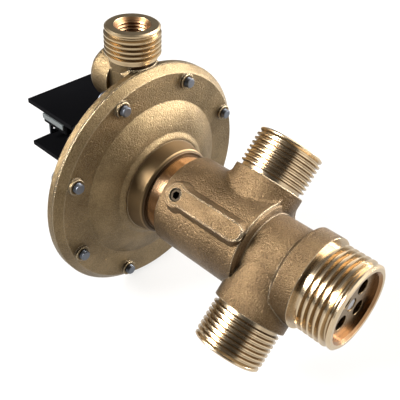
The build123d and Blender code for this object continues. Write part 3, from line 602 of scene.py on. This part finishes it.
# %%
BORE_RADIUS, BORE_TOP = 0.0058, 0.0611
RIDGE_PITCH, RIDGE_DEEP, RIDGES, RIDGE_SIDES = 0.0013, 0.00045, 11, 96
CREST_START, CREST_END = 0.45, 0.55  # of a pitch
HIDDEN = 0.00005  # how far the ridges start inside the wall


def bore_thread():
    """A thin sleeve in the bore's wall, with a zigzag towards the middle."""
    low = BORE_TOP - RIDGES * RIDGE_PITCH
    profile = [(BORE_RADIUS + RIDGE_DEEP, low), (BORE_RADIUS + RIDGE_DEEP, BORE_TOP)]
    for ridge in range(RIDGES):
        high = BORE_TOP - ridge * RIDGE_PITCH
        profile += [
            (BORE_RADIUS + HIDDEN, high),
            (BORE_RADIUS - RIDGE_DEEP, high - CREST_START * RIDGE_PITCH),
            (BORE_RADIUS - RIDGE_DEEP, high - CREST_END * RIDGE_PITCH),
        ]
    profile.append((BORE_RADIUS + HIDDEN, low))
    loops = []
    for side in range(RIDGE_SIDES):
        turn = 2 * math.pi * side / RIDGE_SIDES
        loops.append(
            [(BORE_X + away * math.cos(turn), away * math.sin(turn), z) for away, z in profile]
        )
    return loops_piece("bore_thread", loops, rear_bronze, closed=True, smooth=False)


bore_ridges = bore_thread()
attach(bore_ridges, "head")

# %% [markdown]
# ## Soft parts inside the head
# The return spring is a cone of wire and the diaphragm a folded rubber disc. Both are hidden in
# the covers. The diaphragm is made of equal wedges, each bent along its own radius.

# %%
SPRING_BACK, SPRING_FRONT = -0.1099, -0.1032
SPRING_BIG, SPRING_SMALL, WIRE_RADIUS = 0.0150, 0.00875, 0.00058
SPRING_TURNS, SPRING_STEPS, WIRE_SIDES = 3, 144, 10


def spring_coil():
    """A cone of round wire, wide at the dish and narrow at the plate."""
    loops = []
    for step in range(SPRING_STEPS + 1):
        share = step / SPRING_STEPS
        turn = 2 * math.pi * SPRING_TURNS * share
        x = SPRING_BACK + (SPRING_FRONT - SPRING_BACK) * share
        radius = SPRING_BIG + (SPRING_SMALL - SPRING_BIG) * share
        loop = []
        for side in range(WIRE_SIDES):
            around = 2 * math.pi * side / WIRE_SIDES
            reach = radius + WIRE_RADIUS * math.cos(around)
            place = x + WIRE_RADIUS * math.sin(around)
            loop.append((place, reach * math.cos(turn), reach * math.sin(turn)))
        loops.append(loop)
    return loops_piece("spring_coil", loops, wire)


spring = spring_coil()
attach(spring, "head")
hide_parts("return_spring")
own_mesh(spring)

DISC_X, DISC_HOLE, DISC_EDGE = -0.1005, 0.0021, 0.0248
CLAMP_X, CLAMP_START, CLAMP_EDGE = -0.1015, 0.0312, 0.0357
HALF_RUBBER, FOLD_DEEP, FOLD_STEPS = 0.00055, 0.0027, 14
WEDGES, WEDGE_STEPS = 16, 4


def diaphragm_profile():
    """Radius and place of the rubber's middle, from the spindle to the clamped rim."""
    line = [(DISC_HOLE, DISC_X)]
    for step in range(FOLD_STEPS + 1):
        share = step / FOLD_STEPS
        fold = FOLD_DEEP * math.sin(math.pi * share) ** 2
        x = DISC_X + (CLAMP_X - DISC_X) * share - fold
        line.append((DISC_EDGE + (CLAMP_START - DISC_EDGE) * share, x))
    return line + [(CLAMP_EDGE, CLAMP_X)]


def diaphragm_wedge(index):
    """One wedge of the rubber disc, open at its two cuts, where the next wedges go on."""
    middle = diaphragm_profile()
    outline = [(radius, x + HALF_RUBBER) for radius, x in middle]
    outline += [(radius, x - HALF_RUBBER) for radius, x in reversed(middle)]
    loops = []
    for step in range(WEDGE_STEPS + 1):
        turn = 2 * math.pi * (index + step / WEDGE_STEPS - 0.5) / WEDGES
        loops.append([(x, away * math.cos(turn), away * math.sin(turn)) for away, x in outline])
    return loops_piece(f"diaphragm_wedge_{index:02d}", loops, rubber)


for index in range(WEDGES):
    wedge = diaphragm_wedge(index)
    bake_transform(wedge)
    if index == 0:
        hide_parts("diaphragm")

# %% [markdown]
# ## Floor and light
# A pale floor that holds the soft shadow, a large soft key, a low fill and a rim light, and soft
# boxes in the surroundings for the metal to mirror.

# %%
FLOOR_Z = -0.0485
SEEN_WHITE, SEEN_MIRRORED, MIRRORED_GLOW = 0.72, 0.85, 0.74
FLOOR_TONE, FLOOR_GLOW = (0.7, 0.69, 0.68, 1), (1.0, 0.99, 0.97, 1)


def floor_finish():
    """Pale and matt: seen and mirrored near white, with the shadow kept soft."""
    material, g, shader = new_finish("pale_floor")
    g.feed(shader, {"Base Color": FLOOR_TONE, "Roughness": 0.9, "Specular IOR Level": 0.0})
    seen = g.add("ShaderNodeLightPath").outputs
    strength = g.math("MULTIPLY_ADD", seen["Is Glossy Ray"], MIRRORED_GLOW - 1.0, 1.0)
    bright = g.add("ShaderNodeEmission", inputs={"Color": FLOOR_GLOW, "Strength": strength})
    mirrored = g.math("MULTIPLY", seen["Is Glossy Ray"], SEEN_MIRRORED)
    share = g.math("MULTIPLY_ADD", seen["Is Camera Ray"], SEEN_WHITE, mirrored)
    parts = {0: share, 1: shader.outputs[0], 2: bright.outputs[0]}
    both = g.add("ShaderNodeMixShader", inputs=parts)
    surface = [node for node in g.tree.nodes if node.type == "OUTPUT_MATERIAL"][0]
    g.feed(surface, {"Surface": both.outputs[0]})
    return material


bpy.ops.mesh.primitive_plane_add(size=6.0, location=(0, 0, FLOOR_Z))
floor = bpy.context.object
floor.name = "floor"
floor.data.materials.append(floor_finish())

world = bpy.data.worlds.new("studio")
bpy.context.scene.world = world
world.use_nodes = True
world.node_tree.nodes.clear()
g = Graph(world.node_tree)
direction = g.add("ShaderNodeTexCoord").outputs["Generated"]
# soft boxes round the object: direction, cosine at the rim and at the full part, strength
SOFT_BOXES = (
    ((0.35, 0.78, 0.42), 0.60, 0.88, 1.5),
    ((-0.60, -0.60, 0.52), 0.88, 0.985, 1.1),
    ((-0.3, 0.3, 0.9), 0.2, 0.8, 0.10),
    ((0.97, 0.05, 0.12), 0.82, 0.95, 1.2),
)
DIM_GLOW, WORLD_TONE = 0.055, (1.0, 0.98, 0.95, 1)
glow = DIM_GLOW
for aim, rim_cosine, full_cosine, strength in SOFT_BOXES:
    near = g.dot(direction, Vector(aim).normalized())
    glow = g.math("MULTIPLY_ADD", g.ramp(near, rim_cosine, full_cosine), strength, glow)
around = g.add("ShaderNodeBackground", inputs={"Color": WORLD_TONE, "Strength": glow})
white = g.add("ShaderNodeBackground", inputs={"Color": (1, 1, 1, 1), "Strength": 1.0})
camera_ray = g.add("ShaderNodeLightPath").outputs["Is Camera Ray"]
parts = {0: camera_ray, 1: around.outputs[0], 2: white.outputs[0]}
both = g.add("ShaderNodeMixShader", inputs=parts)
g.add("ShaderNodeOutputWorld", inputs={"Surface": both.outputs[0]})


def soft_light(name, place, aim, width, height, power):
    """A rectangular soft light at a place, turned to a point."""
    data = bpy.data.lights.new(name, "AREA")
    data.shape = "RECTANGLE"
    data.size, data.size_y = width, height
    data.energy = power
    light = bpy.data.objects.new(name, data)
    light.location = place
    light.rotation_euler = (Vector(aim) - Vector(place)).to_track_quat("-Z", "Y").to_euler()
    bpy.context.collection.objects.link(light)
    return light


MIDDLE = (-0.07, 0.0, 0.0)
key = soft_light("key", (0.25, 0.62, 0.50), MIDDLE, 0.7, 0.6, 11)
fill = soft_light("fill", (0.18, 0.70, 0.06), MIDDLE, 0.4, 0.12, 5)
rim = soft_light("rim", (-0.45, -0.55, 0.45), MIDDLE, 0.34, 0.34, 15)

# %% [markdown]
# ## Camera
# Placed where the photograph was taken from.

# %%
CAMERA_PLACE = Vector((0.061289, -0.147794, 0.160264))
CAMERA_ROWS = (
    (0.7179108, 0.6948507, 0.0422685),
    (-0.4538662, 0.4211607, 0.7852574),
    (0.5278348, -0.5829290, 0.6177251),
)
camera_data = bpy.data.cameras.new("camera")
camera_data.lens = 59.804
camera_data.sensor_width = 36.0
camera_data.clip_start = 0.01
camera = bpy.data.objects.new("camera", camera_data)
turned = Matrix(CAMERA_ROWS).transposed().to_4x4()
camera.matrix_world = Matrix.Translation(CAMERA_PLACE) @ turned
bpy.context.collection.objects.link(camera)
bpy.context.scene.camera = camera
bpy.context.scene.view_settings.view_transform = "Standard"
